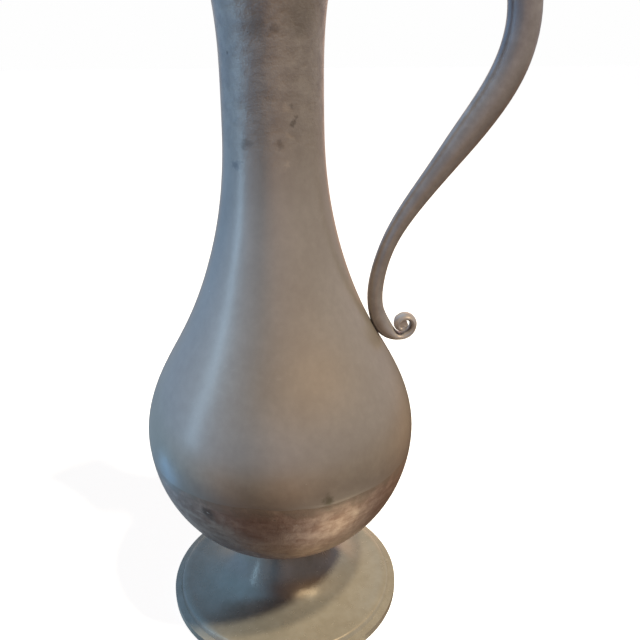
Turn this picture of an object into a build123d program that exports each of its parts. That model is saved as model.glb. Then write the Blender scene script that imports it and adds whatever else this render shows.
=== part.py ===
from build123d import *
import os
from math import cos, pi, radians, sin

# A tall pewter jug: a bulb on a spread foot, a slender neck with a beaked mouth, a scrolled
# handle, and a domed lid that swings on a pin above the handle.
# Sizes are in millimetres and heights are above the plane that the foot rests on. The jug's
# own axis is the Z axis, the handle stands on the +X side and the beak on the -X side.

# Walls and clearances
wall = 1.8
lid_wall = 1.5
pin_clearance = 0.05
knuckle_gap = 0.25
swing_gap = 0.4
lid_overhang = 0.6
bezel_clearance = 1.3

# Belly and neck
belly_radius = 56.0
belly_height = 87.8
bowl_depth = 58.0
seam_drop = 4.8
neck_radius = 18.55
neck_height = 219.0
collar_radius = 20.6
collar_rise = 38.0
collar_flare = 0.18
# Each pair is a share of the way up from the belly to the neck, and out from neck to belly.
shoulder_shape = (
    (0.171, 0.853),
    (0.341, 0.527),
    (0.512, 0.264),
    (0.683, 0.098),
    (0.854, 0.0155),
)

# Foot
foot_radius = 52.0
foot_side = 3.8
foot_edge_round = 0.6
ledge_width = 2.7
ledge_rise = 0.4
step_run = 0.6
step_rise = 1.2
edge_run = 1.1
edge_rise = 0.8
skirt_slope = 0.07
cove_radius = 24.0
cove_height = 12.6
stem_radius = 14.5
stem_taper = 0.1
stem_bury = 4.0
foot_wall = 1.6
rest_width = 3.0

# Mouth and rim
mouth_radius = 28.0
mouth_rise = 24.0
beak_reach = 42.0
rim_band = 3.6
rim_bead = 0.8
bead_width = 1.6
# Each pair is a share of the way up the mouth, and the share of its spread reached there. The
# beak draws out later than the mouth spreads, by a power of that share.
flare_shape = ((0.0, 0.0), (0.36, 0.2), (0.7, 0.55), (1.0, 1.0))
beak_delay = 1.35
beak_sharpness = 6
outline_points = 16

# Lid and finial
flange_thickness = 1.8
dome_radius = 24.5
dome_step = 2.5
dome_height = 13.7
dome_top_radius = 5.5
dome_rise = 0.9
crown_slope = 0.1
bezel_wall = 1.5
bezel_depth = 3.4
finial_foot = 4.8
finial_step = 1.2
finial_neck = 2.1
finial_cove = 0.2
finial_ball = 4.2
finial_tip = 1.1
finial_height = 13.4

# Hinge and thumb lever
hinge_setback = 6.2
hinge_lift = 5.0
barrel_radius = 4.0
pin_radius = 1.5
knuckle_width = 7.0
ear_width = 3.3
pin_end = 0.8
tongue_thickness = 2.2
lever_lean = 6.5
lever_height = 22.5
lever_roll = 2.4
lever_width = 12.0
# Each row is a share of the way up the lever's blade, and its width and thickness there.
blade_sections = ((0.0, 6.4, 5.0), (0.35, 6.9, 4.3), (0.7, 8.4, 3.6), (1.0, 10.4, 3.0))
blade_setback = 0.5
blade_slopes = (-0.25, 0.05)
tongue_gap = 0.6
tongue_shin = 3.2
ear_drop = 5.0

# Handle
root_bury = 7.0
root_drop = 6.4
root_slope = 0.35
crest_reach = 57.0
crest_rise = 2.0
handle_reach = 89.2
reach_drop = 33.5
sway_share = 0.505
sway_slope = 0.72
stand_rise = 59.2
stand_off = 8.2
foot_rise = 46.2
foot_stand_off = 3.6
foot_slope = 0.6
scroll_run = 9.0
scroll_drop = 7.7
scroll_thickness = 2.8
scroll_depth = 6.5
scroll_radii = (5.3, 3.3, 1.5)
core_radius = 2.3
core_recess = 0.5
core_lift = 0.9
# Each row is a share of the way along the bar, its thickness in the handle's plane and its
# depth across it.
bar_sections = (
    (0.00, 9.4, 13.0),
    (0.06, 9.8, 13.4),
    (0.12, 10.3, 12.0),
    (0.20, 11.2, 11.2),
    (0.28, 12.0, 10.8),
    (0.36, 12.3, 10.6),
    (0.46, 12.5, 10.6),
    (0.54, 12.0, 10.3),
    (0.60, 10.9, 9.6),
    (0.66, 9.0, 8.6),
    (0.72, 7.6, 7.8),
    (0.79, 6.3, 7.2),
    (0.86, 6.1, 7.0),
    (0.92, 6.3, 7.0),
    (0.955, 7.0, 7.0),
    (0.98, 5.4, 6.8),
    (1.00, 2.8, 6.5),
)

# Scales for the end tangents of a curve, so that it leaves its ends at its own pace
even = (1, 1)
# Steps of the search for the side's radius at a height, each of which halves what is left
halvings = 40

# Heights and reaches that follow from these
collar_height = neck_height + collar_rise
rim_height = collar_height + mouth_rise
band_height = rim_height - rim_band
hinge_x = mouth_radius + rim_bead + hinge_setback
hinge_z = rim_height + hinge_lift
ear_offset = knuckle_width / 2 + knuckle_gap
flange_top = rim_height + flange_thickness

os.makedirs("parts", exist_ok=True)


def finish(piece, name):
    """Label a finished piece and write it under its own name."""
    piece.part.label = name
    export_step(piece.part, f"parts/{name}.step")


# The side of the belly and neck, as one smooth line in the plane of radius and height
def side_line(inset=0.0, mode=Mode.ADD):
    """The side from the widest point up to the collar, moved in by inset."""
    rise = neck_height - belly_height
    spread = belly_radius - neck_radius
    shoulder = [
        (neck_radius + out * spread - inset, belly_height + up * rise)
        for up, out in shoulder_shape
    ]
    return Spline(
        (belly_radius - inset, belly_height),
        *shoulder,
        (neck_radius - inset, neck_height),
        (collar_radius - inset, collar_height),
        tangents=[(0, 1), (collar_flare, 1)],
        tangent_scalars=even,
        mode=mode,
    )


outer_side = side_line(mode=Mode.PRIVATE)


def side_radius(height):
    """The body's outer radius at a height between the widest point and the collar."""
    low, high = 0.0, 1.0
    for _ in range(halvings):
        middle = (low + high) / 2
        if (outer_side @ middle).Y < height:
            low = middle
        else:
            high = middle
    return (outer_side @ low).X


# The lower half of the belly: a slightly long half ellipse, closed at the bottom
def belly_section(inset):
    """The outline of half of the lower belly's section, filled and moved in by inset."""
    radius = belly_radius - inset
    depth = bowl_depth - inset
    points = [
        (radius * sin(turn), belly_height - depth * cos(turn))
        for turn in (0, pi / 6, pi / 3, pi / 2)
    ]
    with BuildLine() as section:
        side = Spline(*points, tangents=[(1, 0), (0, 1)], tangent_scalars=even)
        Polyline(side @ 1, (0, belly_height), side @ 0)
    return section.edges()


with BuildPart() as lower_belly:
    with BuildSketch(Plane.XZ):
        make_face(belly_section(0))
    revolve(axis=Axis.Z)
    with BuildSketch(Plane.XZ):
        make_face(belly_section(wall))
    revolve(axis=Axis.Z, mode=Mode.SUBTRACT)


# Bowl: the lower belly up to the seam, which lies a little under the widest point
seam = Plane.XY.offset(belly_height - seam_drop)
with BuildPart() as bowl:
    add(lower_belly.part)
    split(bisect_by=seam, keep=Keep.BOTTOM)
finish(bowl, "bowl")


# Upper body: the turned strip above the seam, the shoulder and the neck
with BuildPart() as belly_strip:
    add(lower_belly.part)
    split(bisect_by=seam, keep=Keep.TOP)

with BuildPart() as upper_body:
    with BuildSketch(Plane.XZ):
        with BuildLine():
            outside = side_line()
            inside = side_line(wall)
            Line(outside @ 0, inside @ 0)
            Line(outside @ 1, inside @ 1)
        make_face()
    revolve(axis=Axis.Z)
    add(belly_strip.part)
finish(upper_body, "upper_body")


# The same body without its hollow, to trim what is soldered on
with BuildPart() as body_block:
    with BuildSketch(Plane.XZ):
        with BuildLine():
            outside = side_line()
            Polyline(outside @ 1, (0, collar_height), (0, belly_height), outside @ 0)
        make_face()
    revolve(axis=Axis.Z)


# Foot: a hollow spun trumpet with a ledge and a step round its rim
def skirt_line(inset):
    """The skirt from the step's edge in and up to the stem, moved in and down by inset.

    It moves straight down at the step, slantwise at the cove and sideways at the stem.
    """
    edge_radius = foot_radius - ledge_width - step_run - edge_run
    edge_height = foot_side + ledge_rise + step_rise + edge_rise
    return Spline(
        (edge_radius, edge_height - inset),
        (cove_radius - inset * sin(pi / 4), cove_height - inset * cos(pi / 4)),
        (stem_radius - inset, belly_height - bowl_depth + stem_bury),
        tangents=[(-1, skirt_slope), (-stem_taper, 1)],
        tangent_scalars=even,
    )


with BuildPart() as foot:
    with BuildSketch(Plane.XZ):
        with BuildLine():
            skirt = skirt_line(0)
            under = skirt_line(foot_wall)
            step_foot = (foot_radius - ledge_width, foot_side + ledge_rise)
            step_top = (step_foot[0] - step_run, step_foot[1] + step_rise)
            riser = Line(step_foot, step_top)
            edge = TangentArc(step_top, skirt @ 0, tangent=riser % 1)
            ledge = Line(step_foot, (foot_radius, foot_side))
            outer = Line(ledge @ 1, (foot_radius, 0))
            rest = Line(outer @ 1, (foot_radius - rest_width, 0))
            rim_inside = Line(rest @ 1, (foot_radius - rest_width, foot_side - foot_wall))
            Line(rim_inside @ 1, under @ 0)
            Line(skirt @ 1, under @ 1)
        make_face()
        fillet(vertices().sort_by(Axis.X)[-1], foot_edge_round)
    revolve(axis=Axis.Z)
    with BuildSketch(Plane.XZ):
        make_face(belly_section(0))
    revolve(axis=Axis.Z, mode=Mode.SUBTRACT)
finish(foot, "foot")


# Mouth: a trumpet that draws out into a pouring beak, with a thickened rim
def beak_outline(radius, reach):
    """A closed outline, round with a beak: reach is how far its tip stands from the axis."""
    points = []
    for step in range(outline_points):
        turn = 2 * pi * step / outline_points
        out = radius + (reach - radius) * max(0.0, -cos(turn)) ** beak_sharpness
        points.append((out * cos(turn), out * sin(turn)))
    with BuildLine() as outline:
        Spline(*points, periodic=True)
    return outline.edges()


def trumpet(inset):
    """The flared part between the collar and the rim band, filled and moved in by inset."""
    with BuildPart() as flare:
        for up, spread in flare_shape:
            with BuildSketch(Plane.XY.offset(collar_height + up * (band_height - collar_height))):
                radius = collar_radius + spread * (mouth_radius - collar_radius)
                reach = collar_radius + spread**beak_delay * (beak_reach - collar_radius)
                make_face(beak_outline(radius - inset, reach - inset))
        loft()
    return flare.part


trumpet_outside = trumpet(0)
trumpet_inside = trumpet(wall)

with BuildPart() as mouth_block:
    add(trumpet_outside)
    with BuildSketch(Plane.XY.offset(band_height)):
        make_face(beak_outline(mouth_radius + rim_bead, beak_reach + rim_bead))
    extrude(amount=rim_band)
    fillet(edges().group_by(Axis.Z)[-1], rim_bead / 2)

with BuildPart() as mouth:
    add(mouth_block.part)
    with BuildSketch(Plane.XZ):
        with Locations((collar_radius, collar_height + bead_width)):
            Circle(bead_width / 2)
    revolve(axis=Axis.Z)
    add(trumpet_inside, mode=Mode.SUBTRACT)
    with BuildSketch(Plane.XY.offset(band_height)):
        make_face(beak_outline(mouth_radius - wall, beak_reach - wall))
    extrude(amount=rim_band, mode=Mode.SUBTRACT)
finish(mouth, "mouth")


# Handle: one casting, an S of oval section that ends in a scroll and carries the hinge's ears
stand_height = belly_height + stand_rise
stand_reach = side_radius(stand_height) + stand_off
reach_height = rim_height - reach_drop
foot_height = belly_height + foot_rise
foot_reach = side_radius(foot_height) + foot_stand_off
scroll_start = (foot_reach + scroll_run, foot_height - scroll_drop)

# Each row is a point of the path in the plane of the handle, and the way it heads there.
handle_stations = (
    (mouth_radius - root_bury, band_height - root_drop, (1.0, root_slope)),
    (crest_reach, rim_height + crest_rise, (1.0, 0.0)),
    (handle_reach, reach_height, (0.0, -1.0)),
    (
        stand_reach + sway_share * (handle_reach - stand_reach),
        stand_height + sway_share * (reach_height - stand_height),
        (-sway_slope, -1.0),
    ),
    (stand_reach, stand_height, (0.0, -1.0)),
    (foot_reach, foot_height, (foot_slope, -1.0)),
    (*scroll_start, (1.0, 0.0)),
)


def smooth_run(station, following):
    """A Bezier curve between two stations, with the handles that would make an even bend an arc."""
    start, end = (Vector(x, 0, z) for x, z, _ in (station, following))
    leave, arrive = (Vector(x, 0, z).normalized() for _, _, (x, z) in (station, following))
    turn = radians(leave.get_angle(arrive))
    pull = (end - start).length / (3 * cos(turn / 4) ** 2)
    return Bezier(start, start + leave * pull, end - arrive * pull, end)


with BuildLine() as handle_path:
    for station, following in zip(handle_stations, handle_stations[1:]):
        smooth_run(station, following)


def oval_outline(depth, thickness):
    """An oval, depth wide across the handle and thickness wide in its plane."""
    with BuildLine() as outline:
        Spline(
            *[
                (cos(pi * eighth / 4) * depth / 2, sin(pi * eighth / 4) * thickness / 2)
                for eighth in range(8)
            ],
            periodic=True,
        )
    return outline.edges()


def section_plane(path, share):
    """The plane square to a path in the handle's plane, a share of the way along it."""
    return Plane(origin=path @ share, x_dir=(0, 1, 0), z_dir=path % share)


with BuildPart() as handle:
    spine = handle_path.wires()[0]
    for share, thickness, depth in bar_sections:
        with BuildSketch(section_plane(spine, share)):
            make_face(oval_outline(depth, thickness))
    loft()

    with BuildLine(Plane.XZ) as scroll_path:
        turn = JernArc(scroll_start, (1, 0), scroll_radii[0], 90)
        turn = JernArc(turn @ 1, turn % 1, scroll_radii[1], 180)
        JernArc(turn @ 1, turn % 1, scroll_radii[2], 180)
    with BuildSketch(section_plane(scroll_path.wires()[0], 0)):
        make_face(oval_outline(scroll_depth, scroll_thickness))
    sweep(path=scroll_path.wires()[0])
    core = scroll_path.edges()[-1].arc_center + Vector(0, 0, core_lift)
    with BuildSketch(Plane.XZ):
        with Locations((core.X, core.Z)):
            Circle(core_radius)
    extrude(amount=scroll_depth / 2 - core_recess, both=True)

    for side in (-1, 1):
        with BuildSketch(Plane.XZ.offset(side * ear_offset)):
            with Locations((hinge_x, hinge_z)):
                Circle(barrel_radius)
            with Locations((hinge_x, hinge_z - barrel_radius - ear_drop)):
                Circle(barrel_radius)
            make_hull()
        extrude(amount=side * ear_width)
    with BuildSketch(Plane.XZ):
        with Locations((hinge_x, hinge_z)):
            Circle(barrel_radius + swing_gap)
    extrude(amount=ear_offset, both=True, mode=Mode.SUBTRACT)
    with BuildSketch(Plane.XZ):
        with Locations((hinge_x, hinge_z)):
            Circle(pin_radius)
    extrude(amount=ear_offset + ear_width, both=True, mode=Mode.SUBTRACT)
    add(body_block.part, mode=Mode.SUBTRACT)
    add(mouth_block.part, mode=Mode.SUBTRACT)
finish(handle, "handle")


# Hinge pin: a plain wire, driven through both ears and rounded where its ends stand out
with BuildPart() as hinge_pin:
    with BuildSketch(Plane.XZ):
        with Locations((hinge_x, hinge_z)):
            Circle(pin_radius)
    extrude(amount=ear_offset + ear_width + pin_end, both=True)
    fillet(edges(), pin_end / 2)
finish(hinge_pin, "hinge_pin")


# Lid: a beaked flange that lies on the rim, under a hollow dome
def dome_section(inset):
    """Half of the dome's section, filled from the flange up and moved in by inset."""
    base = flange_top if inset == 0 else rim_height
    shoulder = (dome_radius - dome_step - inset, flange_top + dome_step - inset / 2)
    top = (dome_top_radius, flange_top + dome_height - inset)
    with BuildLine() as section:
        cove = RadiusArc((dome_radius - inset, flange_top), shoulder, dome_step)
        crown = Spline(cove @ 1, top, tangents=[(-dome_rise, 1), (-1, crown_slope)])
        Polyline(crown @ 1, (0, top[1]), (0, base), (dome_radius - inset, base))
        if inset > 0:
            Line((dome_radius - inset, base), cove @ 0)
    return section.edges()


with BuildPart() as lid:
    with BuildSketch(Plane.XY.offset(rim_height)):
        overhang = rim_bead + lid_overhang
        make_face(beak_outline(mouth_radius + overhang, beak_reach + overhang))
    extrude(amount=flange_thickness)
    fillet(edges().group_by(Axis.Z)[-1], flange_thickness / 3)
    with BuildSketch(Plane.XZ):
        make_face(dome_section(0))
    revolve(axis=Axis.Z)
    with BuildSketch(Plane.XZ):
        make_face(dome_section(lid_wall))
    revolve(axis=Axis.Z, mode=Mode.SUBTRACT)
finish(lid, "lid")


# Bezel: the ring under the lid that keeps it centred in the mouth
bezel_radius = mouth_radius - wall - bezel_clearance
with BuildPart() as lid_bezel:
    with BuildSketch(Plane.XY.offset(rim_height)):
        Circle(bezel_radius)
        Circle(bezel_radius - bezel_wall, mode=Mode.SUBTRACT)
    extrude(amount=-bezel_depth)
    fillet(edges().group_by(Axis.Z)[0], bezel_wall / 4)
finish(lid_bezel, "lid_bezel")


# Finial: a turned knob on the crown of the lid
with BuildPart() as finial:
    with BuildSketch(Plane.XZ):
        seat = flange_top + dome_height
        with BuildLine():
            disc = Polyline((0, seat), (finial_foot, seat), (finial_foot, seat + finial_step))
            stem_top = (finial_neck, seat + finial_height - finial_ball)
            headings = [(-1, finial_cove), (0, 1)]
            stem = Spline(disc @ 1, stem_top, tangents=headings, tangent_scalars=even)
            Polyline(stem @ 1, (0, stem_top[1]), (0, seat))
        make_face()
    revolve(axis=Axis.Z)
    with Locations((0, 0, seat + finial_height - finial_ball)):
        Sphere(finial_ball)
    with Locations((0, 0, seat + finial_height)):
        Sphere(finial_tip)
finish(finial, "finial")


# Roll: the rounded bar at the lever's end, where the thumb presses
roll_center = (hinge_x - lever_lean, hinge_z + lever_height)
with BuildPart() as lever_end:
    with BuildSketch(Plane.XZ):
        with Locations(roll_center):
            Circle(lever_roll)
    extrude(amount=lever_width / 2, both=True)
    fillet(edges().filter_by(GeomType.CIRCLE), lever_roll / 3)


# Thumb lever: the lid's own knuckle, a tongue soldered to the flange, and a lever for the thumb
with BuildPart() as thumb_lever:
    with BuildSketch(Plane.XZ):
        with Locations((hinge_x, hinge_z)):
            Circle(barrel_radius)
        with BuildLine():
            toe = (dome_radius + tongue_gap, flange_top + tongue_thickness)
            shin = (hinge_x - barrel_radius / 2, hinge_z + tongue_shin)
            Polyline((hinge_x, flange_top), (toe[0], flange_top), toe, shin, (hinge_x, hinge_z))
            Line((hinge_x, hinge_z), (hinge_x, flange_top))
        make_face()
    extrude(amount=knuckle_width / 2, both=True)
    with BuildLine(Plane.XZ):
        lever = Spline(
            (hinge_x - blade_setback, hinge_z),
            roll_center,
            tangents=[(slope, 1) for slope in blade_slopes],
        )
    for share, width, thickness in blade_sections:
        with BuildSketch(section_plane(lever, share)):
            make_face(oval_outline(width, thickness))
    loft()
    add(lever_end.part)
    with BuildSketch(Plane.XZ):
        with Locations((hinge_x, hinge_z)):
            Circle(pin_radius + pin_clearance)
    extrude(amount=knuckle_width, both=True, mode=Mode.SUBTRACT)
finish(thumb_lever, "thumb_lever")
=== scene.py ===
# %% [markdown]
# # A pewter jug with a hinged lid
# The jug comes from its CAD model, which is loaded here as a fixed frame: every piece already
# has its real size and place. Blender gives the jug its surface, its finish and a soft studio
# light. Nothing here moves or resizes what the CAD says.

# %% Load the frame
import bmesh
import bpy
from math import cos, pi, radians, sin
from mathutils import Matrix, Vector


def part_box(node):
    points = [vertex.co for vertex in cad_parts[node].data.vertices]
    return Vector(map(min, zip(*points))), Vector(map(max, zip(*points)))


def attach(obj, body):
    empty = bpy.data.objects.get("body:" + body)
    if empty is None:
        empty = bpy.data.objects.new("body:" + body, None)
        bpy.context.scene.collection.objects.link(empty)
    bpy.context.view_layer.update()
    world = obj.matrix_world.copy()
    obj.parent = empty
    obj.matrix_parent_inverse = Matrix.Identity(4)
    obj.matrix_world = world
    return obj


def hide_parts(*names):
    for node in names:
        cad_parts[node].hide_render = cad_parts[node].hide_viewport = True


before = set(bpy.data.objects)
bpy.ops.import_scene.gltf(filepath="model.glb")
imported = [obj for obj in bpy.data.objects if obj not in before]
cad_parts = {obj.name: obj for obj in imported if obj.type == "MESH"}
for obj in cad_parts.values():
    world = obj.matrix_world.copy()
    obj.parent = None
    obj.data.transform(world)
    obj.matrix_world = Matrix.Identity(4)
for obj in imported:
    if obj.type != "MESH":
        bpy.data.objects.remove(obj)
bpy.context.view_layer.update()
scene = bpy.context.scene
print("CAD nodes:", ", ".join(sorted(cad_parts)))

# %% [markdown]
# ## Units, colours and nodes
# Sizes are written in millimetres, and one factor turns them into Blender's metres. Colours are
# written as sRGB hex codes, as a colour picker shows them, and one function turns them into the
# linear values that nodes work in. Old metal takes dozens of nodes, and a call for each would
# hide what they do, so nodes are written as rows: a row names its result, and later rows use
# that name where they need it.

# %% Units and colours
mm = 0.001


def paint(code):
    """A colour from its sRGB hex code, as the linear values that Blender's nodes work in."""
    channels = [int(code[place:place + 2], 16) / 255 for place in (1, 3, 5)]
    return (*[((c + 0.055) / 1.055) ** 2.4 if c > 0.04045 else c / 12.92 for c in channels], 1.0)


# %% One way to add a node
def add_node(tree, kind, settings=None, inputs=None, stops=None):
    """Add a node, set its properties, then its inputs: a socket given as a value is linked."""
    node = tree.nodes.new(kind)
    for name, value in (settings or {}).items():
        setattr(node, name, value)
    for name, value in (inputs or {}).items():
        if isinstance(value, bpy.types.NodeSocket):
            tree.links.new(value, node.inputs[name])
        else:
            node.inputs[name].default_value = value
    if stops:
        marks = node.color_ramp.elements
        marks.remove(marks[-1])
        marks[0].position, marks[0].color = stops[0][0], paint(stops[0][1])
        for place, color in stops[1:]:
            marks.new(place).color = paint(color)
    return node


# %% Several nodes from rows
MATH = "ShaderNodeMath"
VECTOR = "ShaderNodeVectorMath"
NOISE = "ShaderNodeTexNoise"
RANGE = "ShaderNodeMapRange"
MIX = "ShaderNodeMix"
RAMP = "ShaderNodeValToRGB"
fade = {"interpolation_type": "SMOOTHSTEP"}
color = {"data_type": "RGBA"}


def add_steps(tree, known, rows):
    """Add a node for each row: what its result is called, its kind, its operation, settings or
    list of colour stops, and its inputs. In the inputs, the name of an earlier result stands for
    that result, and a dot and a socket's name pick one of several."""
    for result, kind, settings, inputs in rows:
        stops = settings if isinstance(settings, list) else None
        if isinstance(settings, str):
            settings = {"operation": settings}
        if not isinstance(inputs, dict):
            inputs = dict(enumerate(inputs))
        linked = {
            name: known[value] if isinstance(value, str) else value for name, value in inputs.items()
        }
        node = add_node(tree, kind, None if stops else settings, linked, stops)
        outputs = [socket for socket in node.outputs if socket.enabled]
        known[result] = outputs[0]
        known.update({f"{result}.{socket.name}": socket for socket in outputs})
    return known


# %% [markdown]
# ## The camera
# The picture is taken from a quarter of a metre in front of the jug and a little below its rim,
# looking down. The jug's outline fixes the camera: the foot's ellipse gives the downward tilt,
# and the way the neck narrows upwards gives the distance.

# %% Camera
camera_place = Vector((0.0, -256.4, 240.7)) * mm
look_down = radians(22.52)
look_right = radians(3.44)
lean = radians(-0.29)
film_width = 36.0
focal_length = 38.25
film_shift = 0.0056

camera_data = bpy.data.cameras.new("photo_camera")
camera_data.sensor_width = film_width
camera_data.lens = focal_length
camera_data.shift_x = film_shift
camera = bpy.data.objects.new("photo_camera", camera_data)
scene.collection.objects.link(camera)
turn = Matrix.Rotation(-look_right, 4, "Z")
tilt = Matrix.Rotation(pi / 2 - look_down, 4, "X")
camera.matrix_world = Matrix.Translation(camera_place) @ turn @ tilt @ Matrix.Rotation(lean, 4, "Z")
scene.camera = camera
print("camera", round(camera_place.length, 3), "m from the foot's centre")

# %% [markdown]
# ## The room
# Satin metal shows little colour of its own: it shows a blurred picture of the room, so the room
# is what has to be right. Walls could be modelled, but a gradient on the world gives the same
# blur and stands in nobody's way. Daylight comes from a cool side on the left and warm plaster
# stands on the right, so the walls, the ceiling, the table and the table close to the foot each
# run from a cool tone to a warm one, by the side that a direction faces, and fade into each other
# by its height. What the camera itself sees behind the jug is plain and nearly white. The metal's
# matt share takes about an eighth of the room's light: there the lamps do the lighting, which
# keeps the belly's shadow on the foot deep.

# %% Tones of the room
# A tone's place runs from the cool side, 0, to the warm side, 1.
wall_tones = [(0.0, "#98bce8"), (0.3, "#93a4bf"), (0.45, "#677f9e"), (0.7, "#9894a0"), (1.0, "#86828b")]
ceiling_tones = [(0.0, "#98c6f4"), (0.5, "#605458"), (1.0, "#907058")]
table_tones = [(0.0, "#98b5cc"), (0.3, "#988a82"), (0.5, "#4c3c2a"), (0.75, "#9f8067"), (1.0, "#7d6e66")]
near_tones = [(0.0, "#667b86"), (0.35, "#8c745e"), (0.7, "#2c1612"), (1.0, "#fff4e4")]
backdrop_tone = "#dcd0c4"
behind_jug = "#fefefe"
warm_bearing = radians(-25)
matt_share = 0.12
# Zones fade into each other between two heights of a direction, where straight down is -1 and
# straight up is 1. The backdrop's two numbers say the same of how far it points to the back.
ceiling_edge = (0.25, 0.6)
table_edge = (-0.32, 0.0)
near_edge = (-0.95, -0.6)
backdrop_edge = (0.75, 1.0)
print("room of", len(wall_tones), "wall tones and", len(table_tones), "table tones")

# %% Gradient of the room
world = bpy.data.worlds.new("room")
scene.world = world
world.use_nodes = True
room = world.node_tree
warm_way = (cos(warm_bearing), sin(warm_bearing), 0)
found = add_steps(room, {}, (
    ("look", "ShaderNodeTexCoord", None, {}),
    ("way", "ShaderNodeSeparateXYZ", None, ("look.Generated",)),
    ("flat", VECTOR, "MULTIPLY", ("look.Generated", (1, 1, 0))),
    ("level", VECTOR, "NORMALIZE", ("flat",)),
    ("warmth", VECTOR, "DOT_PRODUCT", ("level", warm_way)),
    ("side", RANGE, None, {"Value": "warmth", "From Min": -1, "From Max": 1}),
    ("walls", RAMP, wall_tones, ("side",)),
    ("ceiling", RAMP, ceiling_tones, ("side",)),
    ("table", RAMP, table_tones, ("side",)),
    ("near", RAMP, near_tones, ("side",)),
    ("back", RANGE, fade, {"Value": "way.Y", "From Min": backdrop_edge[0], "From Max": backdrop_edge[1]}),
    ("high", RANGE, fade, {"Value": "way.Z", "From Min": ceiling_edge[0], "From Max": ceiling_edge[1]}),
    ("upper", MIX, color, {0: "high", 6: "walls", 7: "ceiling"}),
    ("upper", MIX, color, {0: "back", 6: "upper", 7: paint(backdrop_tone)}),
    ("above_table", RANGE, fade, {"Value": "way.Z", "From Min": table_edge[0], "From Max": table_edge[1]}),
    ("far", RANGE, fade, {"Value": "way.Z", "From Min": near_edge[0], "From Max": near_edge[1]}),
    ("lower", MIX, color, {0: "far", 6: "near", 7: "table"}),
    ("around", MIX, color, {0: "above_table", 6: "lower", 7: "upper"}),
    ("ray", "ShaderNodeLightPath", None, {}),
    ("seen", MIX, color, {0: "ray.Is Camera Ray", 6: "around", 7: paint(behind_jug)}),
    ("strength", RANGE, None, {"Value": "ray.Is Diffuse Ray", "To Min": 1.0, "To Max": matt_share}),
))
background = room.nodes["Background"]
room.links.new(found["seen"], background.inputs["Color"])
room.links.new(found["strength"], background.inputs["Strength"])
print("room:", len(room.nodes), "nodes")

# %% [markdown]
# ## The lamps
# Each lamp stands for one bright thing in the room, and shows in the metal's matt share, in its
# mirror share or in both. The tall narrow window gives the pale streak down the left of the neck
# and belly. The small key lamp, high on the right, throws the crisp shadow of the belly on the
# foot, and a weaker one beside it gives that shadow its lighter half. Both light the matt share
# alone, because a lamp so small would be a hard dot in the mirror share: a wide sheen from the
# same side stands for them there. Low lamps are the lit table, golden on the right and blue on
# the left, and a wide one behind keeps the jug's far edges light.

# %% A lamp by its bearing and height
lamp_aim = 140 * mm


def add_lamp(name, bearing, height, distance, size, power, tone, shows="both"):
    """A rectangular lamp, which faces the jug's axis from a bearing and a height in degrees. Its
    distance and size are in metres. One that shows in the mirror share alone isn't passed on from
    piece to piece, where it would leave sparkles."""
    data = bpy.data.lights.new(name, "AREA")
    data.shape = "RECTANGLE"
    data.size, data.size_y = size
    data.energy = power
    data.color = paint(tone)[:3]
    if shows == "mirror":
        data.cycles.max_bounces = 0
    lamp = bpy.data.objects.new(name, data)
    scene.collection.objects.link(lamp)
    outwards = Vector((
        cos(radians(height)) * cos(radians(bearing)),
        cos(radians(height)) * sin(radians(bearing)),
        sin(radians(height)),
    ))
    lamp.matrix_world = (
        Matrix.Translation(Vector((0, 0, lamp_aim)) + outwards * distance)
        @ outwards.to_track_quat("Z", "Y").to_matrix().to_4x4()
    )
    lamp.visible_glossy = shows != "matt"
    lamp.visible_diffuse = shows != "mirror"


# %% Lamps
# Name, bearing, height, distance, width and height of the lamp, power, colour and share
add_lamp("window", -166, 10, 1.2, (0.08, 0.75), 0.58, "#a8d6ff")
add_lamp("key_lamp", -38, 58, 1.4, (0.1, 0.1), 15.0, "#fff8e2", "matt")
add_lamp("key_echo", -42, 68, 1.4, (0.08, 0.08), 10.5, "#ffebc8", "matt")
add_lamp("key_sheen", -38, 58, 1.4, (0.7, 0.7), 3.4, "#ffe6c2", "mirror")
add_lamp("table_glow", -25, -62, 0.6, (0.2, 0.2), 0.16, "#fff0c0", "mirror")
add_lamp("table_sheen", -200, -36, 0.7, (0.07, 0.16), 0.1, "#78bcff", "mirror")
add_lamp("back_glow", 70, 5, 1.2, (0.5, 0.8), 0.6, "#ffb488", "mirror")

# %% [markdown]
# ## The floor
# A matt pale board takes the jug's shadow. It glows a little, so that it stays nearly white under
# lamps that are set for the metal. The jug isn't shown the board: reflections and light pass
# through it to the table tones of the room, which are what such a jug mirrors. The board isn't
# counted as a lamp either, because that would only add grain.

# %% Floor
floor_half = 6.0
board_tone = "#f2f0ee"
board_glow_tone = "#fffdfb"
board_glow = 0.92
board_roughness = 0.9

floor_paint = bpy.data.materials.new("matt_pale_board")
floor_paint.use_nodes = True
board = floor_paint.node_tree.nodes["Principled BSDF"]
board.inputs["Base Color"].default_value = paint(board_tone)
board.inputs["Roughness"].default_value = board_roughness
board.inputs["Emission Color"].default_value = paint(board_glow_tone)
board.inputs["Emission Strength"].default_value = board_glow
floor_paint.cycles.emission_sampling = "NONE"

floor_mesh = bpy.data.meshes.new("floor")
corners = [(x * floor_half, y * floor_half, 0) for x, y in ((-1, -1), (1, -1), (1, 1), (-1, 1))]
floor_mesh.from_pydata(corners, [], [(0, 1, 2, 3)])
floor_mesh.materials.append(floor_paint)
floor = bpy.data.objects.new("floor", floor_mesh)
scene.collection.objects.link(floor)
floor.visible_glossy = False
floor.visible_shadow = False
floor.visible_diffuse = False
print("floor:", 2 * floor_half, "m wide")

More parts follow.
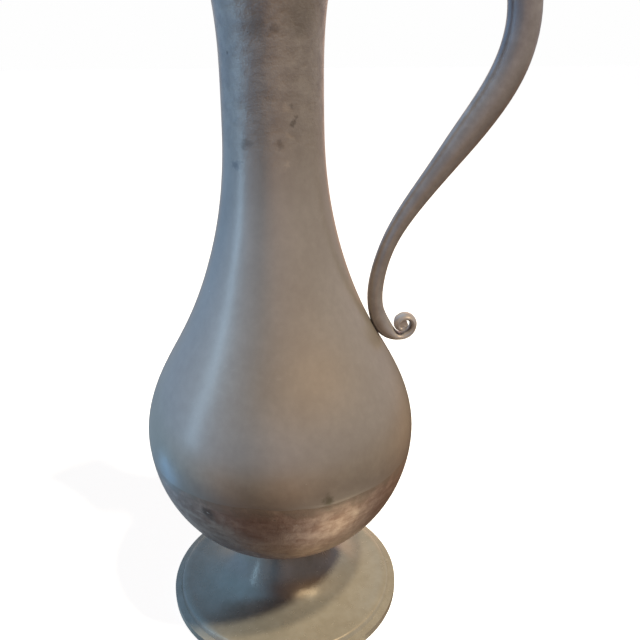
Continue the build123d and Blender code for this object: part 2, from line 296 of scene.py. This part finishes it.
# %% [markdown]
# ## The sections
# Upper body, bowl and foot were turned on a lathe, so one section each says all of their shape.
# It could be drawn again here, but the CAD pieces already have it: their mesh is cut by the plane
# y = 0, and the points on that cut, put in order, are the section. The CAD's points lie as far
# apart as its facets allow, so a smooth curve through them gives finer ones, closest together at
# the belly's seam. Corners stay corners.

# %% Sizes of a section
seam_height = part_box("bowl")[1].z
collar_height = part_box("upper_body")[1].z
point_pitch = 1.3 * mm
seam_pitch = 0.35 * mm
seam_zone = 2.2 * mm
weld = 0.001 * mm
corner_angle = radians(24)
print("seam at", round(seam_height / mm, 1), "mm, collar at", round(collar_height / mm, 1), "mm")


# %% Read a piece's section
def section_points(node):
    """The points of half a section, in order, from a turned CAD piece, and whether it is a closed
    ring. The section of a piece that has metal on the axis is open there."""
    shell = bmesh.new()
    shell.from_mesh(node.data)
    bmesh.ops.remove_doubles(shell, verts=shell.verts, dist=weld)
    on_cut = {v for v in shell.verts if abs(v.co.y) < weld and v.co.x > -weld}
    joined = {v: [] for v in on_cut}
    for edge in shell.edges:
        if on_cut.issuperset(edge.verts):
            first, second = edge.verts
            joined[first].append(second)
            joined[second].append(first)
    start = min(on_cut, key=lambda v: (len(joined[v]), v.co.x, v.co.z))
    run, left = [start], on_cut - {start}
    while True:
        onwards = [v for v in joined[run[-1]] if v in left]
        if not onwards:
            break
        run.append(onwards[0])
        left.remove(onwards[0])
    closed = start in joined[run[-1]] and len(run) > 2
    points = [Vector((v.co.x, v.co.z)) for v in run]
    shell.free()
    return points, closed


sections = {name: section_points(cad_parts[name]) for name in ("upper_body", "bowl", "foot")}
for name, (points, closed) in sections.items():
    print(f"{name}: {len(points)} points in", "a closed ring" if closed else "a row that ends on the axis")


# %% Smooth a section between its corners
def is_corner(before, here, after):
    """Whether the section turns sharply at a point."""
    return (here - before).angle(after - here, 0.0) > corner_angle


def slope_at(points, index):
    """The direction of a smooth curve at one of its points, by its neighbours' distances. An end
    point has none."""
    if index in (0, len(points) - 1):
        return None
    behind, here, ahead = points[index - 1:index + 2]
    back, on = (here - behind).length, (ahead - here).length
    return ((here - behind) * (on / back) + (ahead - here) * (back / on)) / (back + on)


def smooth_stretch(points):
    """Finer points on a smooth stretch, closer together near the seam: between two points lies a
    cubic curve that leaves and arrives along their slopes."""
    finer = [points[0]]
    slopes = [slope_at(points, index) for index in range(len(points))]
    for index in range(len(points) - 1):
        start, end = points[index], points[index + 1]
        gap = (end - start).length
        chord = (end - start) / gap
        leave = slopes[index] or (2 * chord - slopes[index + 1] if slopes[index + 1] else chord)
        arrive = slopes[index + 1] or (2 * chord - slopes[index] if slopes[index] else chord)
        near_seam = min(abs(start.y - seam_height), abs(end.y - seam_height)) < seam_zone
        parts = max(1, round(gap / (seam_pitch if near_seam else point_pitch)))
        for part in range(1, parts + 1):
            t = part / parts
            finer.append(
                start * (2 * t**3 - 3 * t**2 + 1)
                + leave * gap * (t**3 - 2 * t**2 + t)
                + end * (3 * t**2 - 2 * t**3)
                + arrive * gap * (t**3 - t**2)
            )
    return finer


def fine_section(points, closed):
    """The whole section with smooth stretches made finer and its corners kept."""
    count = len(points)
    if closed:
        ring = [points[-1], *points, points[0]]
        first = next(i for i in range(count) if is_corner(*ring[i:i + 3]))
        points = [points[(first + i) % count] for i in range(count + 1)]
    corners = [i for i in range(1, len(points) - 1) if is_corner(*points[i - 1:i + 2])]
    cuts = [0, *corners, len(points) - 1]
    fine = [points[0]]
    for begin, stop in zip(cuts, cuts[1:]):
        fine += smooth_stretch(points[begin:stop + 1])[1:]
    return fine


# %% [markdown]
# ## The lathe
# A turned piece is one section, swept once round the axis. That is a rule, so a Geometry Nodes
# tree follows it. The tree takes the section as a row of points, lays a grid over the row and the
# turns, and rolls the grid up. A screw or spin would do that too, but the real pieces were then
# filed, soldered and used for years: the tree also gives them a slight unevenness, and lets the
# soldered seam of the belly be a shallow dip that wanders up and down a little. The unevenness
# stops where other pieces are soldered on, at the collar and beside the handle.

# %% The lathe's inputs
# The handle's two numbers are cosines of the bearing from the handle, and the drift's waves are
# counted along the radius of the turned circle.
lathe_sizes = (
    ("Steps", "NodeSocketInt", 208),
    ("Wander", "NodeSocketFloat", 0.11 * mm),
    ("Wander Pitch", "NodeSocketFloat", 26 * mm),
    ("Wander Seed", "NodeSocketFloat", 3.0),
    ("Axis Reach", "NodeSocketFloat", 12 * mm),
    ("Collar Start", "NodeSocketFloat", collar_height - 17 * mm),
    ("Collar End", "NodeSocketFloat", collar_height - 1 * mm),
    ("Handle Start", "NodeSocketFloat", 0.6),
    ("Handle End", "NodeSocketFloat", 0.95),
    ("Seam Height", "NodeSocketFloat", seam_height),
    ("Seam Width", "NodeSocketFloat", 0.8 * mm),
    ("Seam Depth", "NodeSocketFloat", 0.045 * mm),
    ("Seam Drift", "NodeSocketFloat", 1.6 * mm),
    ("Drift Reach", "NodeSocketFloat", 9 * mm),
    ("Drift Waves", "NodeSocketFloat", 2.2),
    ("Drift Seed", "NodeSocketFloat", 7.0),
)
lathe = bpy.data.node_groups.new("hand_turned", "GeometryNodeTree")
lathe.interface.new_socket("Section", in_out="INPUT", socket_type="NodeSocketGeometry")
for name, kind, value in lathe_sizes:
    lathe.interface.new_socket(name, in_out="INPUT", socket_type=kind).default_value = value
lathe.interface.new_socket("Finish", in_out="INPUT", socket_type="NodeSocketMaterial")
lathe.interface.new_socket("Piece", in_out="OUTPUT", socket_type="NodeSocketGeometry")
lathe_inputs = {item.name: item.identifier for item in lathe.interface.items_tree if item.in_out == "INPUT"}
print("lathe inputs:", ", ".join(lathe_inputs))

# %% The lathe's steps
cloud = {"noise_dimensions": "4D"}
down = {"To Min": 1.0, "To Max": 0.0}
grid_rows = (
    # A grid whose X counts the section's points, and whose Y counts the turns
    ("given", "NodeGroupInput", None, {}),
    ("where", "GeometryNodeInputPosition", None, {}),
    ("size", "GeometryNodeAttributeDomainSize", {"component": "MESH"}, {"Geometry": "given.Section"}),
    ("turns", MATH, "ADD", ("given.Steps", 1)),
    ("grid", "GeometryNodeMeshGrid", None,
     {"Size X": 1.0, "Size Y": 1.0, "Vertices X": "size.Point Count", "Vertices Y": "turns"}),
    ("spot", "ShaderNodeSeparateXYZ", None, ("where",)),
    ("share", MATH, "ADD", ("spot.X", 0.5)),
    ("last", MATH, "SUBTRACT", ("size.Point Count", 1)),
    ("index", MATH, "MULTIPLY", ("share", "last")),
    ("index", MATH, "ROUND", ("index",)),
    ("sample", "GeometryNodeSampleIndex", {"data_type": "FLOAT_VECTOR", "domain": "POINT"},
     {"Geometry": "given.Section", "Value": "where", "Index": "index"}),
    ("section", "ShaderNodeSeparateXYZ", None, ("sample",)),
    ("angle", MATH, "MULTIPLY", ("spot.Y", 2 * pi)),
    ("across", MATH, "COSINE", ("angle",)),
    ("along", MATH, "SINE", ("angle",)),
)
uneven_rows = (
    # Unevenness, which fades out at the axis, at the collar and beside the handle
    ("even_x", MATH, "MULTIPLY", ("section.X", "across")),
    ("even_y", MATH, "MULTIPLY", ("section.X", "along")),
    ("even", "ShaderNodeCombineXYZ", None, ("even_x", "even_y", "section.Z")),
    ("grain", MATH, "DIVIDE", (1.0, "given.Wander Pitch")),
    ("cloud", NOISE, cloud, {"Vector": "even", "W": "given.Wander Seed", "Scale": "grain", "Detail": 2.0}),
    ("rise", MATH, "MULTIPLY_ADD", ("cloud", 2.0, -1.0)),
    ("uneven", MATH, "MULTIPLY", ("rise", "given.Wander")),
    ("beside", RANGE, fade,
     {"Value": "across", "From Min": "given.Handle Start", "From Max": "given.Handle End", **down}),
    ("collar", RANGE, fade,
     {"Value": "section.Z", "From Min": "given.Collar Start", "From Max": "given.Collar End", **down}),
    ("axis", RANGE, fade, {"Value": "section.X", "From Min": 0.0, "From Max": "given.Axis Reach"}),
    ("uneven", MATH, "MULTIPLY", ("uneven", "beside")),
    ("uneven", MATH, "MULTIPLY", ("uneven", "collar")),
    ("uneven", MATH, "MULTIPLY", ("uneven", "axis")),
)
seam_rows = (
    # The seam's dip, and its drift up and down, which dies away from the seam as a bell curve
    ("above", MATH, "SUBTRACT", ("section.Z", "given.Seam Height")),
    ("dip", MATH, "DIVIDE", ("above", "given.Seam Width")),
    ("dip", MATH, "MULTIPLY", ("dip", "dip")),
    ("dip", MATH, "MULTIPLY", ("dip", -1.0)),
    ("dip", MATH, "EXPONENT", ("dip",)),
    ("dip", MATH, "MULTIPLY", ("dip", "given.Seam Depth")),
    ("pull", MATH, "DIVIDE", ("above", "given.Drift Reach")),
    ("pull", MATH, "MULTIPLY", ("pull", "pull")),
    ("pull", MATH, "MULTIPLY", ("pull", -1.0)),
    ("pull", MATH, "EXPONENT", ("pull",)),
    ("ring", "ShaderNodeCombineXYZ", None, ("across", "along")),
    ("waves", NOISE, cloud,
     {"Vector": "ring", "W": "given.Drift Seed", "Scale": "given.Drift Waves", "Detail": 2.0}),
    ("drift", MATH, "MULTIPLY_ADD", ("waves", 2.0, -1.0)),
    ("drift", MATH, "MULTIPLY", ("drift", "given.Seam Drift")),
    ("drift", MATH, "MULTIPLY", ("drift", "pull")),
)
roll_rows = (
    # The grid rolled up, welded and finished
    ("radius", MATH, "ADD", ("section.X", "uneven")),
    ("radius", MATH, "SUBTRACT", ("radius", "dip")),
    ("x", MATH, "MULTIPLY", ("radius", "across")),
    ("y", MATH, "MULTIPLY", ("radius", "along")),
    ("z", MATH, "ADD", ("section.Z", "drift")),
    ("point", "ShaderNodeCombineXYZ", None, ("x", "y", "z")),
    ("rolled", "GeometryNodeSetPosition", None, {"Geometry": "grid", "Position": "point"}),
    ("welded", "GeometryNodeMergeByDistance", None, {"Geometry": "rolled", "Distance": 2 * weld}),
    ("smooth", "GeometryNodeSetShadeSmooth", None, {"Geometry": "welded"}),
    ("real", "GeometryNodeRealizeInstances", None, {"Geometry": "smooth"}),
    ("finished", "GeometryNodeSetMaterial", None, {"Geometry": "real", "Material": "given.Finish"}),
)
made = add_steps(lathe, {}, grid_rows + uneven_rows + seam_rows + roll_rows)
add_node(lathe, "NodeGroupOutput", inputs={"Piece": made["finished"]})
print("lathe:", len(lathe.nodes), "nodes")


# %% Turn a piece
def turn_piece(node_name, finish, body):
    """A turned piece in place of a CAD node, as one plain closed mesh."""
    points, closed = sections[node_name]
    fine = fine_section(points, closed)
    row = bpy.data.meshes.new(node_name + "_section")
    row.from_pydata([(p.x, 0, p.y) for p in fine], [(i, i + 1) for i in range(len(fine) - 1)], [])
    holder = bpy.data.objects.new(node_name + "_section", row)
    scene.collection.objects.link(holder)
    modifier = holder.modifiers.new("lathe", "NODES")
    modifier.node_group = lathe
    modifier[lathe_inputs["Finish"]] = finish
    shape = bpy.data.meshes.new_from_object(holder.evaluated_get(bpy.context.evaluated_depsgraph_get()))
    bpy.data.objects.remove(holder)
    shell = bmesh.new()
    shell.from_mesh(shape)
    bmesh.ops.dissolve_degenerate(shell, dist=weld, edges=shell.edges)
    if shell.calc_volume(signed=True) < 0:
        bmesh.ops.reverse_faces(shell, faces=shell.faces)
    for edge in shell.edges:
        edge.smooth = len(edge.link_faces) == 2 and edge.calc_face_angle() < corner_angle
    open_edges = sum(len(edge.link_faces) != 2 for edge in shell.edges)
    volume = shell.calc_volume(signed=True)
    shell.to_mesh(shape)
    shell.free()
    shape.name = "turned_" + node_name
    piece = bpy.data.objects.new("turned_" + node_name, shape)
    scene.collection.objects.link(piece)
    print(f"{piece.name}: {len(points)} section points made {len(fine)}, {len(shape.polygons)} faces, "
          f"{open_edges} open edges, {volume / mm**3:.0f} cubic mm")
    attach(piece, body)
    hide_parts(node_name)


# %% [markdown]
# ## Old pewter
# The jug is pewter, which is mostly tin. It was cast, turned and rubbed down, so it is satin, not
# mirror-bright, and years of air have given it a thin grey skin that scatters light. That skin is
# why the metal looks half like stone: it takes the warm lamp as well as mirroring the room. The
# tone drifts from place to place, the lathe has left faint rings, and there are pits, nicks and
# fine scratches. A photograph of old metal could be laid over the pieces, but it would stretch
# round a belly. Noise in real millimetres doesn't, so one tree holds all of this as noise, and
# each piece sets its own amounts.

# %% Sizes of the patterns
# How far apart each pattern's features lie, in millimetres. Real lathe rings lie about 0.3 mm
# apart and real scratches are as thin as hair: both are drawn coarser here, so that they show.
pattern_mm = {
    "drift": 26.0,
    "mottle": 3.2,
    "stain": 5.5,
    "streak": 2.6,
    "ring": 1.1,
    "pit": 3.6,
    "nick": 13.0,
    "scratch": 7.0,
}
pit_depth_mm = 0.06
scratch_depth_mm = 0.008
streak_height_mm = 0.02
mark_wander_mm = 9.0
seam_mm = seam_height / mm
skin_above_seam_mm = 14.0
tone_below_seam_mm = 6.0
tone_above_seam_mm = 1.0
seam_ragged_mm = 16.0
seam_tone_strength = 0.8
print("patterns of", min(pattern_mm.values()), "to", max(pattern_mm.values()), "mm")

# %% Amounts that a piece can change
usual = {
    # The share that mirrors, and how blurred it is
    "metal": 0.62,
    "rough": 0.36,
    "rough_drift": 0.08,
    # The skin: how much it covers, where its noise is cut and how softly, and the two heights in
    # millimetres between which it sets in. These lie below the foot, so it is everywhere.
    "stained": 0.6,
    "stain_cut": 0.5,
    "stain_soft": 0.16,
    "stain_heights": (-1, 0),
    # The skin just above the belly's seam, and the colour that fades in just below it
    "seam_stain": 0.0,
    "seam_tone": None,
    # Rubbing streaks, and how short they are: at 1 they are as short as they are wide
    "streak": 0.0,
    "draw": 0.35,
    # Heights of the bump in millimetres
    "ring": 0.002,
    "dent": 0.008,
    "rugged": 0.0,
    # How many pits and nicks there are, and how bright the scratches are
    "pit": 0.5,
    "nick": 0.3,
    "scratch": 0.2,
    # Single marks: a point and a size in millimetres, a strength and a colour
    "marks": (),
}
print(len(usual), "amounts")


# %% [markdown]
# ### Tone and tool marks
# Under everything lies the metal itself, whose grey is never quite even, and what the tools left
# on it. Rings run round the axis, so their noise is laid over radius and height in place of X, Y
# and Z. Streaks of rubbing run the same way but end, so theirs is stretched sideways only.

# %% Tone and tool marks
def tone_rows(amount):
    """Rows for the tone, the lathe's rings and the rubbing streaks."""
    mottle_share = 0.45
    ring_turn = 0.05
    return (
        ("place", "ShaderNodeTexCoord", None, {}),
        ("point", VECTOR, "SCALE", {0: "place.Object", 3: 1 / mm}),
        ("axis", "ShaderNodeSeparateXYZ", None, ("point",)),
        ("flat", VECTOR, "MULTIPLY", ("point", (1, 1, 0))),
        ("radius", VECTOR, "LENGTH", ("flat",)),
        # Slow drift of tone and a finer mottle
        ("drift", NOISE, None, {"Vector": "point", "Scale": 1 / pattern_mm["drift"], "Detail": 3.0}),
        ("mottle", NOISE, None,
         {"Vector": "point", "Scale": 1 / pattern_mm["mottle"], "Detail": 5.0, "Roughness": 0.62}),
        ("tone", MATH, "MULTIPLY", ("mottle", mottle_share)),
        ("tone", MATH, "MULTIPLY_ADD", ("drift", 1 - mottle_share, "tone")),
        # Rings from the lathe, nearly the same all the way round
        ("slow", MATH, "MULTIPLY", ("axis.X", ring_turn)),
        ("turned", "ShaderNodeCombineXYZ", None, ("radius", "axis.Z", "slow")),
        ("ring", NOISE, None, {"Vector": "turned", "Scale": 1 / pattern_mm["ring"], "Detail": 2.0}),
        # Rubbing streaks that follow the turning for a few centimetres
        ("drawn", VECTOR, "MULTIPLY", ("point", (amount["draw"], amount["draw"], 1.0))),
        ("streak", NOISE, None,
         {"Vector": "drawn", "Scale": 1 / pattern_mm["streak"], "Detail": 4.0, "Distortion": 0.6}),
    )


# %% [markdown]
# ### The skin
# The skin grew slowly and was rubbed off where hands and cloths went, so it lies in cloudy patches
# with soft edges. Heat from the soldering darkened it along the belly's seam, with a ragged edge.

# %% Skin
def skin_rows(amount):
    """Rows for the old skin, in patches and along the seam."""
    cut, soft = amount["stain_cut"], amount["stain_soft"]
    low, high = amount["stain_heights"]
    return (
        ("stain", NOISE, None,
         {"Vector": "point", "Scale": 1 / pattern_mm["stain"], "Detail": 7.0, "Roughness": 0.66}),
        ("streaked", MATH, "MULTIPLY_ADD", ("streak", amount["streak"], "stain")),
        ("streaked", MATH, "MULTIPLY_ADD", (-0.5, amount["streak"], "streaked")),
        ("patch", RANGE, fade, {"Value": "streaked", "From Min": cut - soft, "From Max": cut + soft}),
        ("height", RANGE, fade, {"Value": "axis.Z", "From Min": low, "From Max": high}),
        ("skin", MATH, "MULTIPLY", ("patch", "height")),
        ("skin", MATH, "MULTIPLY", ("skin", amount["stained"])),
        ("ragged", MATH, "MULTIPLY_ADD", ("stain", seam_ragged_mm, -seam_ragged_mm / 2)),
        ("ragged", MATH, "ADD", ("axis.Z", "ragged")),
        ("by_seam", RANGE, fade,
         {"Value": "ragged", "From Min": seam_mm, "From Max": seam_mm + skin_above_seam_mm,
          "To Min": amount["seam_stain"], "To Max": 0.0}),
        ("skin", MATH, "MAXIMUM", ("skin", "by_seam")),
    )


# %% [markdown]
# ### Wear
# Pits are where the air ate into the tin, nicks and scratches are where something hard struck it.
# The first are dark and the others bright. Each could be modelled, but they are far finer than
# the mesh, so they are patterns: a scattering of cells, of which a few are picked by their own
# random colour, and thin lines where a drawn-out noise passes its middle.

# %% Pits, nicks and scratches
def wear_rows(amount):
    """Rows for the pits, the nicks and the scratches."""
    # The share of cells with a pit or a nick; sizes are shares of a cell
    pit_share = 0.4 * amount["pit"]
    nick_share = 0.5 * amount["nick"]
    smallest_pit = 0.08
    pit_spread = 0.22
    pit_floor = 0.2
    nick_edge = (0.02, 0.042)
    line_edge = (0.0015, 0.005)
    scratched = (0.5, 0.62)
    return (
        # Pits, each with a reach of its own
        ("cells", "ShaderNodeTexVoronoi", None, {"Vector": "point", "Scale": 1 / pattern_mm["pit"]}),
        ("pick", "ShaderNodeSeparateColor", None, ("cells.Color",)),
        ("chosen", MATH, "GREATER_THAN", ("pick.Red", 1 - pit_share)),
        ("reach", MATH, "MULTIPLY_ADD", ("pick.Green", pit_spread, smallest_pit)),
        ("reached", MATH, "DIVIDE", ("cells.Distance", "reach")),
        ("pit", RANGE, fade, {"Value": "reached", "From Min": pit_floor, "From Max": 1.0, **down}),
        ("pit", MATH, "MULTIPLY", ("pit", "chosen")),
        ("pit", MATH, "MULTIPLY", ("pit", "height")),
        # Nicks down to bright metal
        ("specks", "ShaderNodeTexVoronoi", None, {"Vector": "point", "Scale": 1 / pattern_mm["nick"]}),
        ("choice", "ShaderNodeSeparateColor", None, ("specks.Color",)),
        ("bright", MATH, "GREATER_THAN", ("choice.Green", 1 - nick_share)),
        ("nick", RANGE, fade,
         {"Value": "specks.Distance", "From Min": nick_edge[0], "From Max": nick_edge[1], **down}),
        ("nick", MATH, "MULTIPLY", ("nick", "bright")),
        # Fine scratches, where another noise lets them show
        ("swept", VECTOR, "MULTIPLY", ("point", (0.3, 0.3, 1.0))),
        ("lines", NOISE, None,
         {"Vector": "swept", "Scale": 1 / pattern_mm["scratch"], "Detail": 1.0, "Distortion": 1.5}),
        ("near", MATH, "SUBTRACT", ("lines", 0.5)),
        ("near", MATH, "ABSOLUTE", ("near",)),
        ("line", RANGE, fade,
         {"Value": "near", "From Min": line_edge[0], "From Max": line_edge[1], **down}),
        ("where", RANGE, fade, {"Value": "mottle", "From Min": scratched[0], "From Max": scratched[1]}),
        ("line", MATH, "MULTIPLY", ("line", "where")),
        ("line", MATH, "MULTIPLY", ("line", amount["scratch"])),
    )


# %% [markdown]
# ### Colour, gloss and relief
# The patterns meet here. The tone runs through three greys, the skin lies over it, pits darken
# it and bare metal brightens it. The skin is a little rougher than the metal. The relief is a
# height in real millimetres, so one bump node can take it as it is.

# %% Colour, gloss and relief
pit_color = "#4b4440"
scratch_color = "#dcd7cf"
tone_stops = (0.36, 0.5, 0.64)
skin_roughness = 0.06
pit_darkness = 0.5


def color_rows(tones, stain):
    """Rows for the colour, and for a place that wanders, which gives the marks uneven outlines."""
    return (
        ("tones", RAMP, list(zip(tone_stops, tones)), ("tone",)),
        ("skinned", MIX, color, {0: "skin", 6: "tones", 7: paint(stain)}),
        ("pitted", MATH, "MULTIPLY", ("pit", pit_darkness)),
        ("worn", MIX, color, {0: "pitted", 6: "skinned", 7: paint(pit_color)}),
        ("shine", MATH, "MAXIMUM", ("nick", "line")),
        ("final", MIX, color, {0: "shine", 6: "worn", 7: paint(scratch_color)}),
        ("shift", VECTOR, "SUBTRACT", ("stain.Color", (0.5, 0.5, 0.5))),
        ("bent", VECTOR, "MULTIPLY_ADD", ("shift", (mark_wander_mm,) * 3, "point")),
    )


def relief_rows(amount):
    """Rows for the roughness and for the bump, whose heights are added up in millimetres."""
    smoothest = amount["rough"] - amount["rough_drift"] / 2
    return (
        ("rough", MATH, "MULTIPLY_ADD", ("mottle", amount["rough_drift"], smoothest)),
        ("rough", MATH, "MULTIPLY_ADD", ("skin", skin_roughness, "rough")),
        ("relief", MATH, "MULTIPLY", ("ring", amount["ring"])),
        ("relief", MATH, "MULTIPLY_ADD", ("mottle", amount["dent"], "relief")),
        ("relief", MATH, "MULTIPLY_ADD", ("streak", amount["streak"] * streak_height_mm, "relief")),
        ("rugged", MATH, "MULTIPLY", ("stain", "height")),
        ("relief", MATH, "MULTIPLY_ADD", ("rugged", amount["rugged"], "relief")),
        ("relief", MATH, "MULTIPLY_ADD", ("pit", -pit_depth_mm, "relief")),
        ("relief", MATH, "MULTIPLY_ADD", ("line", -scratch_depth_mm, "relief")),
        ("bump", "ShaderNodeBump", None, {"Strength": 1.0, "Distance": mm, "Height": "relief"}),
    )


# %% A pewter for one slot
mark_core = 0.3


def aged_pewter(name, tones, stain, **amounts):
    """A pewter whose tones go from dull to bright, with an old skin of the colour stain."""
    amount = {**usual, **amounts}
    material = bpy.data.materials.new(name)
    material.use_nodes = True
    tree = material.node_tree
    known = add_steps(tree, {}, tone_rows(amount) + skin_rows(amount) + wear_rows(amount))
    add_steps(tree, known, color_rows(tones, stain) + relief_rows(amount))
    if amount["seam_tone"]:
        add_steps(tree, known, (
            ("blend", RANGE, fade,
             {"Value": "ragged", "From Min": seam_mm - tone_below_seam_mm,
              "From Max": seam_mm + tone_above_seam_mm, "To Max": seam_tone_strength}),
            ("final", MIX, color, {0: "blend", 6: "final", 7: paint(amount["seam_tone"])}),
        ))
    for center, size, strength, mark_color in amount["marks"]:
        edge = {"From Min": mark_core * size, "From Max": size, "To Min": strength, "To Max": 0.0}
        add_steps(tree, known, (
            ("gap", VECTOR, "DISTANCE", ("bent", center)),
            ("spot", RANGE, fade, {"Value": "gap", **edge}),
            ("final", MIX, color, {0: "spot", 6: "final", 7: paint(mark_color)}),
        ))
    shader = tree.nodes["Principled BSDF"]
    shader.inputs["Metallic"].default_value = amount["metal"]
    for socket, result in (("Base Color", "final"), ("Roughness", "rough"), ("Normal", "bump")):
        tree.links.new(known[result], shader.inputs[socket])
    print(f"{name}: {len(tree.nodes)} nodes")
    return material


# %% [markdown]
# ## Single marks
# A few spots and scuffs are large enough to know the jug by. A mark is given by its bearing round
# the axis and its height, as one would measure it on the real jug, and the section gives the
# radius there, so that it always lies on the metal.

# %% A point on a turned piece
def on_outside(node_name, bearing, height):
    """A point in millimetres on a turned piece's outer wall, from a bearing in degrees and a height
    in millimetres."""
    points = sections[node_name][0]
    level = height * mm
    radii = [
        start.x + (end.x - start.x) * (level - start.y) / (end.y - start.y)
        for start, end in zip(points, points[1:] + points[:1])
        if min(start.y, end.y) <= level < max(start.y, end.y)
    ]
    radius = max(radii) / mm
    return (radius * cos(radians(bearing)), radius * sin(radians(bearing)), height)


# %% Marks
# Bearing in degrees, height and size in millimetres, strength and colour
dark_spot = "#6f665f"
pale_scuff = "#dccfbf"
bare_metal = "#e6e2da"
neck_and_belly_marks = (
    (-67.9, 219.8, 1.3, 0.5, dark_spot),
    (-66.6, 214.6, 1.5, 0.6, dark_spot),
    (-133.7, 199.5, 3.0, 0.5, "#6b7078"),
    (-118.6, 207.4, 3.2, 0.4, dark_spot),
    (-84.3, 207.0, 2.6, 0.4, dark_spot),
    (-104.5, 244.5, 5.5, 0.3, dark_spot),
    (-84.0, 243.6, 1.8, 0.4, dark_spot),
    (-59.3, 247.5, 9.0, 0.35, "#7d7468"),
    (-78.2, 200.1, 1.8, 0.7, pale_scuff),
    (-73.7, 218.5, 2.6, 0.5, pale_scuff),
    (-72.0, 209.6, 2.2, 0.5, pale_scuff),
    (-73.7, 85.1, 3.6, 0.7, "#6f6a58"),
    (-110.5, 98.2, 0.9, 0.9, bare_metal),
    (-81.7, 92.7, 0.9, 0.8, bare_metal),
)
bowl_marks = (
    (-121.6, 76.7, 5.0, 0.75, "#5d4e48"),
    (-121.2, 76.2, 0.8, 1.0, bare_metal),
)
print(len(neck_and_belly_marks) + len(bowl_marks), "marks on the turned pieces")

# %% [markdown]
# ## Pewter for each piece
# The pieces were made in different ways and have aged differently, so each has a pewter of its
# own. Metallic stays well under 1 on all of them: that is the matt skin. Only the rubbed pin is
# nearly bare. Small pieces that were cast alike share one.

# %% Body
# Turned and rubbed satin: broad soft lights on a warm grey, freckled with skin up the neck.
body_pewter = aged_pewter(
    "satin_pewter_turned",
    ("#c2b7ab", "#c8beb2", "#cfc5b9"),
    "#9a908c",
    metal=0.7,
    rough=0.33,
    stained=0.42,
    stain_soft=0.14,
    stain_heights=(185, 225),
    seam_stain=0.5,
    rugged=0.5,
    pit=0.3,
    marks=[(on_outside("upper_body", *mark[:2]), *mark[2:]) for mark in neck_and_belly_marks],
)

# %% Bowl
# The same metal, browned and less rubbed: a rosy grey with streaks that run round it.
bowl_pewter = aged_pewter(
    "satin_pewter_stained",
    ("#b59d91", "#c5ada0", "#d6c2b4"),
    "#8b685a",
    metal=0.66,
    rough=0.34,
    stained=0.7,
    stain_soft=0.2,
    seam_tone="#a89c8f",
    streak=0.5,
    draw=0.18,
    rugged=0.25,
    scratch=0.5,
    pit=0.15,
    marks=[(on_outside("bowl", *mark[:2]), *mark[2:]) for mark in bowl_marks],
)

# %% Foot
# Spun from sheet and scoured: the mattest and palest, nearly without marks.
foot_pewter = aged_pewter(
    "matt_pewter_spun",
    ("#b9b2a2", "#c1b9a9", "#c7c0b1"),
    "#aca28f",
    metal=0.44,
    rough=0.25,
    stained=0.35,
    ring=0.001,
    dent=0.003,
    pit=0.0,
    nick=0.0,
    scratch=0.0,
)

# %% Mouth and lid
# Both are cast and turned. The mouth is duller, because drink and fingers touch it.
mouth_pewter = aged_pewter(
    "satin_pewter_cast_rim",
    ("#aaa4a0", "#b7b1ad", "#c4beba"),
    "#7d6f66",
    rough=0.4,
)
lid_pewter = aged_pewter(
    "satin_pewter_lid",
    ("#b3aca6", "#bdb6b0", "#c8c1bb"),
    "#85776d",
    rough=0.38,
    stained=0.45,
)

# %% Handle and small castings
# Cast in a mould and never turned, so they have no rings, but the soft unevenness of a casting.
# The pale patch on the scroll at the handle's end is a painted highlight.
scroll_highlight_middle = (53.0, -3.0, 131.0)
handle_pewter = aged_pewter(
    "cast_pewter_rubbed_painted_highlight",
    ("#b7b0ae", "#c0b9b6", "#cac3bf"),
    "#938883",
    stained=0.35,
    ring=0.0,
    dent=0.02,
    pit=0.15,
    # A painted highlight: a pale patch over the scroll, fading out within 12 mm.
    marks=[(scroll_highlight_middle, 12.0, 0.7, "#ded6d2")],
)
fitting_pewter = aged_pewter(
    "cast_pewter_fittings",
    ("#aea8a4", "#b8b2ae", "#c5bfba"),
    "#85796f",
    rough=0.4,
    stained=0.4,
    ring=0.0,
    dent=0.02,
)

# %% Hinge pin
# Brass wire, drawn through a plate: yellower and more of a mirror than the pewter, but dull.
pin_wire = aged_pewter(
    "drawn_brass_wire_dull",
    ("#9b8f78", "#a89b82", "#b8ab92"),
    "#6f6454",
    metal=0.85,
    rough=0.38,
    stained=0.5,
    ring=0.0,
    pit=0.0,
    nick=0.0,
)

# %% [markdown]
# ## Dress the pieces
# The three turned pieces are made now, each with its finish, and take the place of their CAD
# nodes. The other nodes have the right shape already and only get a finish. The replaced nodes
# get theirs too, so that no node is left bare.

# %% Turned pieces
turn_piece("upper_body", body_pewter, "jug")
turn_piece("bowl", bowl_pewter, "jug")
turn_piece("foot", foot_pewter, "jug")

# %% Finishes of the CAD nodes
finishes = {
    "upper_body": body_pewter,
    "bowl": bowl_pewter,
    "foot": foot_pewter,
    "mouth": mouth_pewter,
    "handle": handle_pewter,
    "hinge_pin": pin_wire,
    "lid": lid_pewter,
    "lid_bezel": lid_pewter,
    "finial": fitting_pewter,
    "thumb_lever": fitting_pewter,
}
for name, finish in finishes.items():
    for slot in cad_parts[name].material_slots:
        slot.material = finish
print("dressed:", ", ".join(finishes))

# %% [markdown]
# The Standard view shows colours as they are written, with no film curve over them.

scene.view_settings.view_transform = "Standard"
